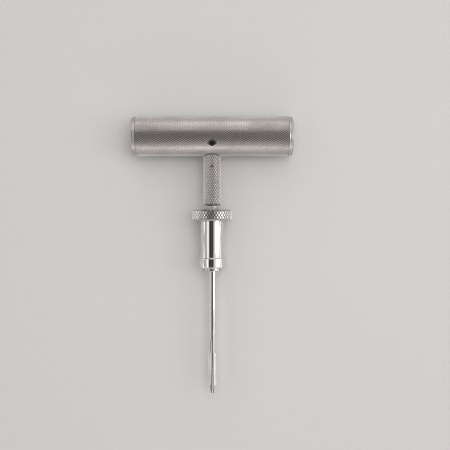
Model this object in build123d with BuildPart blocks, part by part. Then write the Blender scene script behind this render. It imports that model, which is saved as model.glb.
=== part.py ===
from build123d import *
import os

# Tyre plug insertion tool: a T-handled split-eye needle with a collar that slides and turns on it.
#
# The grip lies along X, the needle points along -Y, and +Z is up when the tool lies on a table.
# The origin is where the grip's axis crosses the tool's axis. Sizes are in millimetres.
# Plane.XZ faces -Y, so Plane.XZ.offset(d) stands at distance d from the grip's axis, towards the tip.

# ---------------------------------------------------------------- driving dimensions

# Grip: a knurled tube, closed by a pressed cap at each end
grip_length = 97.0              # over both caps
grip_diameter = 24.0            # over the knurl
grip_wall = 3.0
grip_rim_chamfer = 0.4
cap_flange_length = 1.7
cap_flange_step = 0.4           # from the grip's surface down to the flange
cap_edge_radius = 1.3
cap_spigot_length = 9.0
cap_spigot_chamfer = 0.8

# Stem: round, coped to the grip's underside, with a tenon that crosses the grip
stem_diameter = 10.5
stem_length = 29.7              # from the grip's underside
stem_end_chamfer = 0.5
tenon_diameter = 8.0
tenon_end_gap = 0.15            # to the far wall of the grip's bore

# Pins through the grip and through the stem, both along Z
cross_pin_diameter = 3.0
cross_pin_offset = 5.4          # from the grip's axis towards the needle
cross_pin_recess = 0.7          # below the grip's surface
cross_pin_sink_diameter = 5.2   # countersink round the pin, at the grip's surface
lock_pin_diameter = 2.0
lock_pin_offset = 6.4           # from the grip's underside
lock_pin_recess = 0.1           # below the stem's surface
pin_edge_chamfer = 0.2

# Nose ferrule: a cone on the shank, with a spigot in the stem's end
ferrule_wall = 1.4              # round the shank, where the cone is widest
ferrule_nose_wall = 0.7
ferrule_length = 2.2
ferrule_groove = 0.4            # open groove between the stem's end and the cone
ferrule_spigot_wall = 1.0
ferrule_spigot_length = 2.5     # inside the stem

# Needle: round shank, then a relief on its +X side, then the eye's head and the tip
shank_diameter = 4.2
shank_hold = 27.7               # length held in the stem
shank_length = 74.3             # from the stem's end to the relief
relief_length = 14.8            # from the relief's start to the head's shoulder
relief_ramp = 4.2
relief_half_width = 1.1         # what the relief leaves on the +X side
head_length = 19.5              # from the shoulder to the barb's step
head_swell_left = 0.56          # how far the head stands proud of the shank on the -X side
head_swell_right = 0.26         # the same on the +X side, a flat
head_bulge = 0.9                # length over which the head swells from the shank
head_straight = 7.6             # full width on the -X side, before the taper
head_thickness = 4.1            # a hair under the shank's
barb_thickness = 3.2            # at the barb's step, where the head is full width
tip_length = 5.0                # from the barb's step to the end
tip_half_width = 1.15
tip_taper = 2.6                 # from the barb's step to where the -X side reaches the tip's width
tip_point = 0.6                 # what is left of the -X side at the very end
tip_oval_half_width = 1.5       # of the oval that the tip is cut from
tip_thickness = 1.6
tip_corner_radius = 0.4
eye_slot_width = 0.75
eye_slot_start = 8.2            # above the head's shoulder
eye_slot_root_shift = -0.6      # how far the slot's root stands off the needle's axis
eye_slot_tip_shift = 0.1        # the same at the tip

# Collar
collar_gap = 0.3                # to the ferrule's nose, with the collar pushed home
thumb_ring_diameter = 24.0
thumb_ring_length = 6.5
thumb_ring_chamfer = 0.7
sleeve_diameter = 14.0
sleeve_wall = 2.0
sleeve_visible_length = 22.3
foot_ring_wall = 0.8            # round the sleeve
foot_ring_length = 6.2
foot_ring_chamfer = 0.5
lip_step = 0.5                  # how far the lip stands out over the sleeve's bore
lip_length = 1.9
lip_chamfer = 0.3
bush_flange_length = 1.2
upper_bush_length = 14.0
lower_bush_length = 15.0        # inside the sleeve
running_clearance = 0.05        # radial, between the shank and what slides on it

# Friction ring, in a groove inside the upper bush
friction_ring_section = 1.4
friction_ring_depth = 6.0       # from the collar's start to the ring's centre
groove_clearance = 0.1          # all round the ring

# ---------------------------------------------------------------- worked out from these

grip_radius = grip_diameter / 2
grip_bore_radius = grip_radius - grip_wall
tube_length = grip_length - 2 * cap_flange_length
stem_radius = stem_diameter / 2
tenon_radius = tenon_diameter / 2
tenon_top = (grip_bore_radius**2 - tenon_radius**2) ** 0.5 - tenon_end_gap
cross_pin_radius = cross_pin_diameter / 2
cross_pin_mouth = (grip_radius**2 - cross_pin_offset**2) ** 0.5
cross_pin_reach = cross_pin_mouth - cross_pin_recess
lock_pin_radius = lock_pin_diameter / 2
lock_pin_reach = stem_radius - lock_pin_recess
shank_radius = shank_diameter / 2
head_left = shank_radius + head_swell_left
head_right = shank_radius + head_swell_right
ferrule_spigot_radius = shank_radius + ferrule_spigot_wall
bush_bore_radius = shank_radius + running_clearance
sleeve_radius = sleeve_diameter / 2
sleeve_bore_radius = sleeve_radius - sleeve_wall

# Distances from the grip's axis, along the tool
lock_pin_place = grip_radius + lock_pin_offset
stem_end = grip_radius + stem_length
needle_top = stem_end - shank_hold
cone_start = stem_end + ferrule_groove
ferrule_end = cone_start + ferrule_length
relief_start = stem_end + shank_length
shoulder = relief_start + relief_length
barb_step = shoulder + head_length
tip_end = barb_step + tip_length
collar_start = ferrule_end + collar_gap
thumb_ring_end = collar_start + thumb_ring_length
foot_ring_start = thumb_ring_end + sleeve_visible_length
foot_ring_end = foot_ring_start + foot_ring_length
sleeve_start = collar_start + bush_flange_length
friction_ring_place = collar_start + friction_ring_depth
groove_start = friction_ring_place - friction_ring_section / 2 - groove_clearance

# ---------------------------------------------------------------- grip

with BuildPart() as grip_tube:
    with BuildSketch(Plane.YZ.offset(-tube_length / 2)):
        Circle(grip_radius)
        Circle(grip_bore_radius, mode=Mode.SUBTRACT)
    extrude(amount=tube_length)
    rims = grip_tube.edges().filter_by(GeomType.CIRCLE).group_by(SortBy.RADIUS)[-1]
    chamfer(rims, grip_rim_chamfer)
    # the tenon's hole goes through the near wall only
    with BuildSketch(Plane.XZ):
        Circle(tenon_radius)
    extrude(amount=grip_radius, mode=Mode.SUBTRACT)
    # the cross pin's hole, countersunk above and below
    for facing in (1, -1):
        mouth = Plane(origin=(0, -cross_pin_offset, facing * cross_pin_mouth), z_dir=(0, 0, facing))
        with Locations(mouth):
            CounterSinkHole(cross_pin_radius, cross_pin_sink_diameter / 2, depth=cross_pin_mouth)

end_caps = {}
for side, outward in (("left", -1), ("right", 1)):
    tube_end = Plane(origin=(outward * tube_length / 2, 0, 0), z_dir=(outward, 0, 0))
    along = Axis((0, 0, 0), (outward, 0, 0))
    with BuildPart() as end_cap:
        with BuildSketch(tube_end):
            Circle(grip_radius - cap_flange_step)
        extrude(amount=cap_flange_length)
        fillet(end_cap.edges().sort_by(along)[-1], cap_edge_radius)
        with BuildSketch(tube_end):
            Circle(grip_bore_radius)
        extrude(amount=-cap_spigot_length)
        chamfer(end_cap.edges().sort_by(along)[0], cap_spigot_chamfer)
    end_caps[side] = end_cap

with BuildPart() as grip_cross_pin:
    with BuildSketch(Plane.XY):
        with Locations((0, -cross_pin_offset)):
            Circle(cross_pin_radius)
    extrude(amount=cross_pin_reach, both=True)
    chamfer(grip_cross_pin.edges().filter_by(GeomType.CIRCLE), pin_edge_chamfer)

# ---------------------------------------------------------------- stem

with BuildPart() as stem:
    with BuildSketch(Plane.XZ):
        Circle(stem_radius)
    extrude(amount=stem_end)
    chamfer(stem.edges().sort_by(Axis.Y)[0], stem_end_chamfer)
    # the saddle that seats on the grip's underside
    with BuildSketch(Plane.YZ.offset(-stem_radius)):
        Circle(grip_radius)
    extrude(amount=stem_diameter, mode=Mode.SUBTRACT)
    with BuildSketch(Plane.XZ.offset(-tenon_top)):
        Circle(tenon_radius)
    extrude(amount=tenon_top + grip_radius)
    # the needle's socket, and the ferrule's counterbore at its mouth
    with BuildSketch(Plane.XZ.offset(needle_top)):
        Circle(shank_radius)
    extrude(amount=shank_hold, mode=Mode.SUBTRACT)
    with BuildSketch(Plane.XZ.offset(stem_end - ferrule_spigot_length)):
        Circle(ferrule_spigot_radius)
    extrude(amount=ferrule_spigot_length, mode=Mode.SUBTRACT)
    with BuildSketch(Plane.XY):
        with Locations((0, -cross_pin_offset)):
            Circle(cross_pin_radius)
        with Locations((0, -lock_pin_place)):
            Circle(lock_pin_radius)
    extrude(amount=stem_radius, both=True, mode=Mode.SUBTRACT)

with BuildPart() as nose_ferrule:
    with BuildSketch(Plane.XY):
        with BuildLine():
            Polyline(
                (shank_radius, ferrule_spigot_length - stem_end),
                (ferrule_spigot_radius, ferrule_spigot_length - stem_end),
                (ferrule_spigot_radius, -cone_start),
                (shank_radius + ferrule_wall, -cone_start),
                (shank_radius + ferrule_nose_wall, -ferrule_end),
                (shank_radius, -ferrule_end),
                close=True,
            )
        make_face()
    revolve(axis=Axis.Y)

# ---------------------------------------------------------------- needle

with BuildPart() as needle:
    # the eye end seen from above, from the relief to the tip
    with BuildSketch(Plane.XY) as eye_outline:
        with BuildLine():
            Polyline(
                (-shank_radius, -relief_start),
                (-shank_radius, -shoulder),
                (-head_left, -shoulder - head_bulge),
                (-head_left, -shoulder - head_straight),
                (-tip_half_width, -barb_step - tip_taper),
                (-tip_point, -tip_end),
                (tip_half_width, -tip_end),
                (tip_half_width, -barb_step),
                (head_right, -barb_step),
                (head_right, -shoulder),
                (relief_half_width, -shoulder),
                (relief_half_width, -relief_start - relief_ramp),
                (shank_radius, -relief_start),
                close=True,
            )
        make_face()
        tip_corner = eye_outline.vertices().group_by(Axis.Y)[0].sort_by(Axis.X)[-1]
        fillet(tip_corner, tip_corner_radius)
    extrude(amount=head_left, both=True)
    # the bar that the outline is cut from: round, then oval along the head, then a flat point
    with BuildPart(mode=Mode.INTERSECT):
        with BuildSketch(Plane.XZ.offset(relief_start)):
            Circle(shank_radius)
        extrude(amount=relief_length)
        with BuildSketch(Plane.XZ.offset(shoulder)):
            Ellipse(head_left, head_thickness / 2)
        extrude(amount=head_straight)
        for start, end, start_thickness, half_width, thickness in (
            (shoulder + head_straight, barb_step, head_thickness, head_left, barb_thickness),
            (barb_step, tip_end, barb_thickness, tip_oval_half_width, tip_thickness),
        ):
            with BuildSketch(Plane.XZ.offset(start)):
                Ellipse(head_left, start_thickness / 2)
            with BuildSketch(Plane.XZ.offset(end)):
                Ellipse(half_width, thickness / 2)
            loft()
    with BuildSketch(Plane.XZ.offset(needle_top)):
        Circle(shank_radius)
    extrude(amount=relief_start - needle_top)
    # the eye's slot, which slants a little and is open at the tip, and the lock pin's hole
    slot_root = shoulder - eye_slot_start
    slot_half = eye_slot_width / 2
    with BuildSketch(Plane.XY):
        with BuildLine():
            Polyline(
                (eye_slot_root_shift - slot_half, -slot_root),
                (eye_slot_tip_shift - slot_half, -tip_end),
                (eye_slot_tip_shift + slot_half, -tip_end),
                (eye_slot_root_shift + slot_half, -slot_root),
                close=True,
            )
        make_face()
        with Locations((eye_slot_root_shift, -slot_root)):
            Circle(slot_half)
        with Locations((0, -lock_pin_place)):
            Circle(lock_pin_radius)
    extrude(amount=head_left, both=True, mode=Mode.SUBTRACT)

with BuildPart() as needle_lock_pin:
    with BuildSketch(Plane.XY):
        with Locations((0, -lock_pin_place)):
            Circle(lock_pin_radius)
    extrude(amount=lock_pin_reach, both=True)
    chamfer(needle_lock_pin.edges().filter_by(GeomType.CIRCLE), pin_edge_chamfer)

# ---------------------------------------------------------------- collar

with BuildPart() as collar_thumb_ring:
    with BuildSketch(Plane.XZ.offset(collar_start)):
        Circle(thumb_ring_diameter / 2)
        Circle(sleeve_radius, mode=Mode.SUBTRACT)
    extrude(amount=thumb_ring_length)
    rims = collar_thumb_ring.edges().filter_by(GeomType.CIRCLE).group_by(SortBy.RADIUS)[-1]
    chamfer(rims, thumb_ring_chamfer)

with BuildPart() as collar_sleeve:
    with BuildSketch(Plane.XZ.offset(sleeve_start)):
        Circle(sleeve_radius)
        Circle(sleeve_bore_radius, mode=Mode.SUBTRACT)
    extrude(amount=foot_ring_end - sleeve_start)

with BuildPart() as collar_foot_ring:
    with BuildSketch(Plane.XZ.offset(foot_ring_start)):
        Circle(sleeve_radius + foot_ring_wall)
        Circle(sleeve_radius, mode=Mode.SUBTRACT)
    extrude(amount=foot_ring_length)
    rims = collar_foot_ring.edges().filter_by(GeomType.CIRCLE).group_by(SortBy.RADIUS)[-1]
    chamfer(rims, foot_ring_chamfer)

with BuildPart() as collar_upper_bush:
    with BuildSketch(Plane.XZ.offset(collar_start)):
        Circle(sleeve_radius)
    extrude(amount=bush_flange_length)
    with BuildSketch(Plane.XZ.offset(collar_start)):
        Circle(sleeve_bore_radius)
    extrude(amount=upper_bush_length)
    with BuildSketch(Plane.XZ.offset(collar_start)):
        Circle(bush_bore_radius)
    extrude(amount=upper_bush_length, mode=Mode.SUBTRACT)
    # the friction ring's groove
    with BuildSketch(Plane.XZ.offset(groove_start)):
        Circle(bush_bore_radius + friction_ring_section + groove_clearance)
    extrude(amount=friction_ring_section + 2 * groove_clearance, mode=Mode.SUBTRACT)

with BuildPart() as collar_lower_bush:
    with BuildSketch(Plane.XZ.offset(foot_ring_end)):
        Circle(sleeve_bore_radius + lip_step)
    extrude(amount=lip_length)
    chamfer(collar_lower_bush.edges().sort_by(Axis.Y)[0], lip_chamfer)
    with BuildSketch(Plane.XZ.offset(foot_ring_end)):
        Circle(sleeve_bore_radius)
    extrude(amount=-lower_bush_length)
    with BuildSketch(Plane.XZ.offset(foot_ring_end - lower_bush_length)):
        Circle(bush_bore_radius)
    extrude(amount=lower_bush_length + lip_length, mode=Mode.SUBTRACT)

with BuildPart() as collar_friction_ring:
    with BuildSketch(Plane.XY):
        with Locations((bush_bore_radius + friction_ring_section / 2, -friction_ring_place)):
            Circle(friction_ring_section / 2)
    revolve(axis=Axis.Y)

# ---------------------------------------------------------------- files

pieces = {
    "grip_tube": grip_tube,
    "grip_end_cap_left": end_caps["left"],
    "grip_end_cap_right": end_caps["right"],
    "grip_cross_pin": grip_cross_pin,
    "stem": stem,
    "needle_lock_pin": needle_lock_pin,
    "nose_ferrule": nose_ferrule,
    "needle": needle,
    "collar_thumb_ring": collar_thumb_ring,
    "collar_sleeve": collar_sleeve,
    "collar_foot_ring": collar_foot_ring,
    "collar_upper_bush": collar_upper_bush,
    "collar_lower_bush": collar_lower_bush,
    "collar_friction_ring": collar_friction_ring,
}

os.makedirs("parts", exist_ok=True)
for name, piece in pieces.items():
    piece.part.label = name
    export_step(piece.part, f"parts/{name}.step")

# How far the collar slides before its lip meets the head's shoulder, with the same gap left
collar_travel = shoulder - (foot_ring_end + lip_length) - collar_gap
print(f"collar travel {collar_travel:.2f} mm, tool length {grip_radius + tip_end:.2f} mm")
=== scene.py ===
"""The looks of a tyre plug insertion tool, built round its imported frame.

Everything is in metres, in the frame's own axes: the grip lies along X, the needle points along -Y
and the tool lies on the floor with +Z up. A distance called a place is measured along an axis: from
the grip towards the needle's tip on the tool's axis, and along +X on the grip's.
"""

import logging
import math
from dataclasses import dataclass, field
from enum import Enum
from typing import Callable, Sequence, Union

import bmesh
import bpy
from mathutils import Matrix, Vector


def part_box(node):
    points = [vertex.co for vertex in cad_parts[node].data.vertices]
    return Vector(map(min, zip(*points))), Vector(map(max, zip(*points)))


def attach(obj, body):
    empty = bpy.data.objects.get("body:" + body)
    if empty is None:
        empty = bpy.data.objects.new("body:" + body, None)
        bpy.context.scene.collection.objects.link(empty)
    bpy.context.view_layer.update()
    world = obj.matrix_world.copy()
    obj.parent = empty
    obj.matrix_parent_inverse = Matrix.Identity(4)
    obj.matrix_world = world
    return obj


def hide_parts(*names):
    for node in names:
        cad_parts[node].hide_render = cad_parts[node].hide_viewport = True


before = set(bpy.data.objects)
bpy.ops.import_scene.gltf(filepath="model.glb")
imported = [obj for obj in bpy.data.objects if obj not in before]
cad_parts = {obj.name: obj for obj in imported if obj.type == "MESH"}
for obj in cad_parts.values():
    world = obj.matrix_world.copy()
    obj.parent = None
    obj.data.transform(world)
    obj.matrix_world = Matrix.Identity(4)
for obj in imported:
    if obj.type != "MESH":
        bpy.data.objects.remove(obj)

log = logging.getLogger("plug_tool")

MM = 0.001
FULL_TURN = 2 * math.pi
MERGE_DISTANCE = 0.0005 * MM
SMOOTH_ANGLE = math.radians(34)
CUT_BEYOND = 1 * MM  # how far a cutter reaches past what it cuts
NEAR_SURFACE = 0.02 * MM  # how far inside a turned surface a face still counts as on it
NEAR_PLANE = 0.01 * MM  # the same for a flat end

Band = tuple[float, float]
Colour = tuple[float, float, float, float]
Outline = list[tuple[float, float]]
Mesh = bmesh.types.BMesh
Vert, Edge, Face = bmesh.types.BMVert, bmesh.types.BMEdge, bmesh.types.BMFace
Material = bpy.types.Material
Tree = bpy.types.NodeTree
Socket = bpy.types.NodeSocket
Sockets = dict[str, Socket]
Surface = tuple[Socket, Socket, Socket]
Setting = Union[Socket, float, Sequence[float]]


# ---------------------------------------------------------------- places read from the frame


@dataclass(frozen=True)
class Span:
    """Where a turned node starts and ends along its own axis, and its largest radius."""

    start: float
    end: float
    radius: float

    @classmethod
    def on_tool(cls, node: str) -> "Span":
        """Read a node that stands on the tool's axis, from the grip towards the tip."""
        low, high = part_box(node)
        return cls(-high.y, -low.y, (high.x - low.x) / 2)

    @classmethod
    def on_grip(cls, node: str) -> "Span":
        """Read a node that stands on the grip's axis, along +X."""
        low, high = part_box(node)
        return cls(low.x, high.x, (high.z - low.z) / 2)


# ---------------------------------------------------------------- turning, knurling and carving


@dataclass(frozen=True)
class Knurl:
    """A diamond knurl: crossed grooves that leave rows of flat-topped diamonds."""

    teeth: int
    rows: int
    depth: float
    groove: float


@dataclass(frozen=True)
class Lathe:
    """Turns pieces about one axis through the origin."""

    along: Vector
    out: Vector

    def place(self, point: Vector) -> float:
        """How far along the axis a point is."""
        return point.dot(self.along)

    def radius(self, point: Vector) -> float:
        """How far from the axis a point is."""
        return (point - self.along * self.place(point)).length

    def at(self, radius: float, place: float) -> Vector:
        """The point at a radius and a place, on the side where outlines are drawn."""
        return self.out * radius + self.along * place

    def angle(self, point: Vector) -> float:
        """The angle round the axis of a point, from the side where outlines are drawn."""
        side = self.along.cross(self.out)
        return math.atan2(point.dot(side), point.dot(self.out)) % FULL_TURN

    def spin(self, bm: Mesh, profile: list[Union[Vert, Edge]], steps: int) -> None:
        """Turn a profile once round the axis."""
        bmesh.ops.spin(
            bm, geom=profile, cent=(0, 0, 0), axis=self.along, angle=FULL_TURN, steps=steps,
            use_merge=True,
        )

    def turn(self, outline: Outline, steps: int = 96) -> Mesh:
        """Spin a closed outline about the axis.

        Args:
            outline: Corners as (radius, place). Corners on the axis close to a pole.
            steps: Facets round the axis.

        Returns:
            A closed mesh with its faces pointing outwards.
        """
        bm = bmesh.new()
        corners = [bm.verts.new(self.at(radius, place)) for radius, place in outline]
        closing = zip(corners, corners[1:] + corners[:1])
        edges = [bm.edges.new(pair) for pair in closing if max(self.radius(v.co) for v in pair) > 0]
        self.spin(bm, corners + edges, steps)
        tidy(bm)
        return bm

    def rod(self, radius: float, start: float, end: float, steps: int) -> Mesh:
        """Turn a plain rod from one place to another."""
        return self.turn([(0, start), (radius, start), (radius, end), (0, end)], steps)

    def knurl(self, knurl: Knurl, start: float, end: float, radius: float) -> Mesh:
        """Roll a knurled band, open at both ends.

        Args:
            knurl: The pattern.
            start: Place of the band's first edge.
            end: Place of its last edge.
            radius: Radius over the diamonds.

        Returns:
            A band whose two open rims lie at the bottom of the grooves.
        """
        bm = bmesh.new()
        step = (end - start) / knurl.rows
        bottom = radius - knurl.depth
        line = [bm.verts.new(self.at(bottom, start + i * step)) for i in range(knurl.rows + 1)]
        edges = [bm.edges.new(pair) for pair in zip(line, line[1:])]
        self.spin(bm, line + edges, 2 * knurl.teeth)
        bmesh.ops.remove_doubles(bm, verts=bm.verts, dist=MERGE_DISTANCE)

        def is_crossing(vert: Vert) -> bool:
            """Whether two grooves cross at this vertex, so that it stays at the bottom."""
            row = round((self.place(vert.co) - start) / step)
            column = round(self.angle(vert.co) / FULL_TURN * 2 * knurl.teeth)
            return (row + column) % 2 == 1

        crossings = [v for v in bm.verts if is_crossing(v)]
        bmesh.ops.connect_verts(bm, verts=crossings)
        bmesh.ops.dissolve_verts(bm, verts=[v for v in bm.verts if not is_crossing(v)])
        self.face_outwards(bm)
        bmesh.ops.inset_individual(
            bm, faces=bm.faces[:], thickness=knurl.groove, depth=knurl.depth, use_even_offset=True,
        )
        return bm

    def face_outwards(self, bm: Mesh) -> None:
        """Point the faces of a band about the axis away from it."""
        bmesh.ops.recalc_face_normals(bm, faces=bm.faces)
        sample = next(iter(bm.faces))
        centre = sample.calc_center_median()
        if sample.normal.dot(centre - self.along * self.place(centre)) < 0:
            bmesh.ops.reverse_faces(bm, faces=bm.faces[:])

    def draw_rim(self, bm: Mesh, rim: list[Edge], corners: Outline) -> list[Edge]:
        """Extrude an open rim from corner to corner.

        Args:
            bm: The mesh that holds the rim.
            rim: The rim's edges.
            corners: Where to draw it to, one after another, as (radius, place).

        Returns:
            The edges of the last rim.
        """
        for radius, place in corners:
            made = bmesh.ops.extrude_edge_only(bm, edges=rim)["geom"]
            for vert in (v for v in made if isinstance(v, Vert)):
                spoke = (vert.co - self.along * self.place(vert.co)).normalized()
                vert.co = spoke * radius + self.along * place
            rim = [e for e in made if isinstance(e, Edge) and e.is_boundary]
        return rim

    def rims(self, bm: Mesh, middle: float) -> tuple[list[Edge], list[Edge]]:
        """The open edges before and after a place."""
        ends = [e for e in bm.edges if e.is_boundary]
        first = [e for e in ends if self.place(e.verts[0].co) < middle]
        return first, [e for e in ends if e not in set(first)]


TOOL = Lathe(along=Vector((0, -1, 0)), out=Vector((1, 0, 0)))
GRIP = Lathe(along=Vector((1, 0, 0)), out=Vector((0, 0, 1)))
UPRIGHT = Lathe(along=Vector((0, 0, 1)), out=Vector((1, 0, 0)))


def tidy(bm: Mesh) -> None:
    """Merge what meets and point every face outwards."""
    bmesh.ops.remove_doubles(bm, verts=bm.verts, dist=MERGE_DISTANCE)
    bmesh.ops.recalc_face_normals(bm, faces=bm.faces)


def soften(
    bm: Mesh,
    width: float,
    segments: int = 2,
    where: Callable[[Edge], bool] = lambda edge: True,
) -> Mesh:
    """Round the sharp edges of a mesh.

    Args:
        bm: The mesh to change.
        width: Width of the rounding.
        segments: Facets across it.
        where: Picks the edges, among those that are sharp.

    Returns:
        The same mesh.
    """
    sharp = [
        e for e in bm.edges if e.is_manifold and e.calc_face_angle(0) > SMOOTH_ANGLE and where(e)
    ]
    bmesh.ops.bevel(
        bm, geom=sharp, offset=width, offset_type="OFFSET", segments=segments,
        profile=0.5, affect="EDGES", material=-1, clamp_overlap=True,
    )
    return bm


def carve(blank: Mesh, tools: Sequence[Mesh], operation: str = "DIFFERENCE") -> Mesh:
    """Cut or join closed meshes with a Boolean, one tool after another.

    Args:
        blank: The mesh to change. It is freed.
        tools: Closed meshes that cut or join it. They are freed.
        operation: DIFFERENCE or UNION.

    Returns:
        A new mesh.
    """
    body = loose_object("carve_blank", blank)
    for cutter_mesh in tools:
        cutter = loose_object("carve_tool", cutter_mesh)
        modifier = body.modifiers.new("carve", "BOOLEAN")
        modifier.operation = operation
        modifier.solver = "EXACT"
        modifier.object = cutter
        graph = bpy.context.evaluated_depsgraph_get()
        result = bpy.data.meshes.new_from_object(body.evaluated_get(graph))
        body.modifiers.clear()
        body.data = result
        bpy.data.objects.remove(cutter)
    made = bmesh.new()
    made.from_mesh(body.data)
    bpy.data.objects.remove(body)
    tidy(made)
    return made


def loose_object(name: str, bm: Mesh) -> bpy.types.Object:
    """Put a mesh in the scene as an object of its own, and free the bmesh."""
    mesh = bpy.data.meshes.new(name)
    bm.to_mesh(mesh)
    bm.free()
    obj = bpy.data.objects.new(name, mesh)
    bpy.context.scene.collection.objects.link(obj)
    return obj


def piece(
    name: str, bm: Mesh, body: str, node: str, finishes: Sequence[Material]
) -> bpy.types.Object:
    """Make a finished piece that stands for a node of the frame.

    Args:
        name: The piece's name.
        bm: Its mesh, which is freed.
        body: The body it rides on.
        node: The node it replaces.
        finishes: Its materials, in the order that its faces number them.

    Returns:
        The object.
    """
    # Left many-sided, these would be cut up at export with edges that four faces share.
    many_sided = [face for face in bm.faces if len(face.verts) > 4]
    bmesh.ops.triangulate(bm, faces=many_sided, ngon_method="BEAUTY")
    obj = loose_object(name, bm)
    obj.data.shade_smooth()
    obj.data.set_sharp_from_angle(angle=SMOOTH_ANGLE)
    for finish in finishes:
        obj.data.materials.append(finish)
    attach(obj, body)
    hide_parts(node)
    log.info("%s: %d faces, on %s", name, len(obj.data.polygons), body)
    return obj


def number_faces(bm: Mesh, choose: Callable[[Face], int]) -> Mesh:
    """Number each face with the finish that it takes, and return the same mesh."""
    for face in bm.faces:
        face.material_index = choose(face)
    return bm


# ---------------------------------------------------------------- shader nodes


def node(
    tree: Tree, kind: str, inputs: dict[Union[str, int], Setting], **settings
) -> bpy.types.Node:
    """Add a shader node and feed its inputs.

    Args:
        tree: The tree to add to.
        kind: The node's type, without its ShaderNode prefix.
        inputs: Input by name or number, fed by a socket or set to a value.
        **settings: Properties of the node.

    Returns:
        The node.
    """
    made = tree.nodes.new("ShaderNode" + kind)
    for key, value in settings.items():
        setattr(made, key, value)
    for key, value in inputs.items():
        if isinstance(value, Socket):
            tree.links.new(value, made.inputs[key])
        else:
            made.inputs[key].default_value = value
    return made


def maths(tree: Tree, operation: str, a: Setting, b: Setting = 0.0) -> Socket:
    """One arithmetic step."""
    return node(tree, "Math", {0: a, 1: b}, operation=operation).outputs[0]


def remap(
    tree: Tree, value: Socket, low: Setting, high: Setting,
    to_low: float = 0.0, to_high: float = 1.0,
) -> Socket:
    """Stretch a value from one range to another, clamped at both ends."""
    fed = {"Value": value, "From Min": low, "From Max": high, "To Min": to_low, "To Max": to_high}
    return node(tree, "MapRange", fed).outputs[0]


def spread(tree: Tree, share: Socket, low: float, high: float) -> Socket:
    """Stretch a share between 0 and 1 to another range."""
    return remap(tree, share, 0.0, 1.0, low, high)


def blend(tree: Tree, factor: Setting, a: Setting, b: Setting) -> Socket:
    """Mix two colours."""
    return node(tree, "Mix", {0: factor, 6: a, 7: b}, data_type="RGBA").outputs[2]


def noise(tree: Tree, vector: Socket, scale: Setting, detail: float = 4.0) -> Socket:
    """Fractal noise between 0 and 1."""
    return node(tree, "TexNoise", {"Vector": vector, "Scale": scale, "Detail": detail}).outputs[0]


def group(
    name: str, inputs: dict[str, Union[float, str]], outputs: Sequence[str],
    fill: Callable[[Tree, Sockets], Sockets],
) -> Tree:
    """Build a shader node group with named sockets.

    Args:
        name: The group's name.
        inputs: Default value by input name, or "vector" for a vector input.
        outputs: Names of its outputs, all floats.
        fill: Makes the nodes from the input sockets, and returns the output sockets by name.

    Returns:
        The group's node tree.
    """
    tree = bpy.data.node_groups.new(name, "ShaderNodeTree")
    for key, value in inputs.items():
        is_vector = value == "vector"
        kind = "NodeSocketVector" if is_vector else "NodeSocketFloat"
        made = tree.interface.new_socket(key, in_out="INPUT", socket_type=kind)
        if not is_vector:
            made.default_value = value
    for key in outputs:
        tree.interface.new_socket(key, in_out="OUTPUT", socket_type="NodeSocketFloat")
    entry = tree.nodes.new("NodeGroupInput")
    leave = tree.nodes.new("NodeGroupOutput")
    for key, socket in fill(tree, {key: entry.outputs[key] for key in inputs}).items():
        tree.links.new(socket, leave.inputs[key])
    return tree


def use(tree: Tree, effect: Tree, **fed: Setting) -> Sockets:
    """Place a shared effect in a material.

    Args:
        tree: The material's tree.
        effect: The effect's node group.
        **fed: Its inputs, with spaces in their names written as underscores.

    Returns:
        Its outputs by name.
    """
    inputs = {key.replace("_", " "): value for key, value in fed.items()}
    made = node(tree, "Group", inputs, node_tree=effect)
    return {socket.name: socket for socket in made.outputs}


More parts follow.
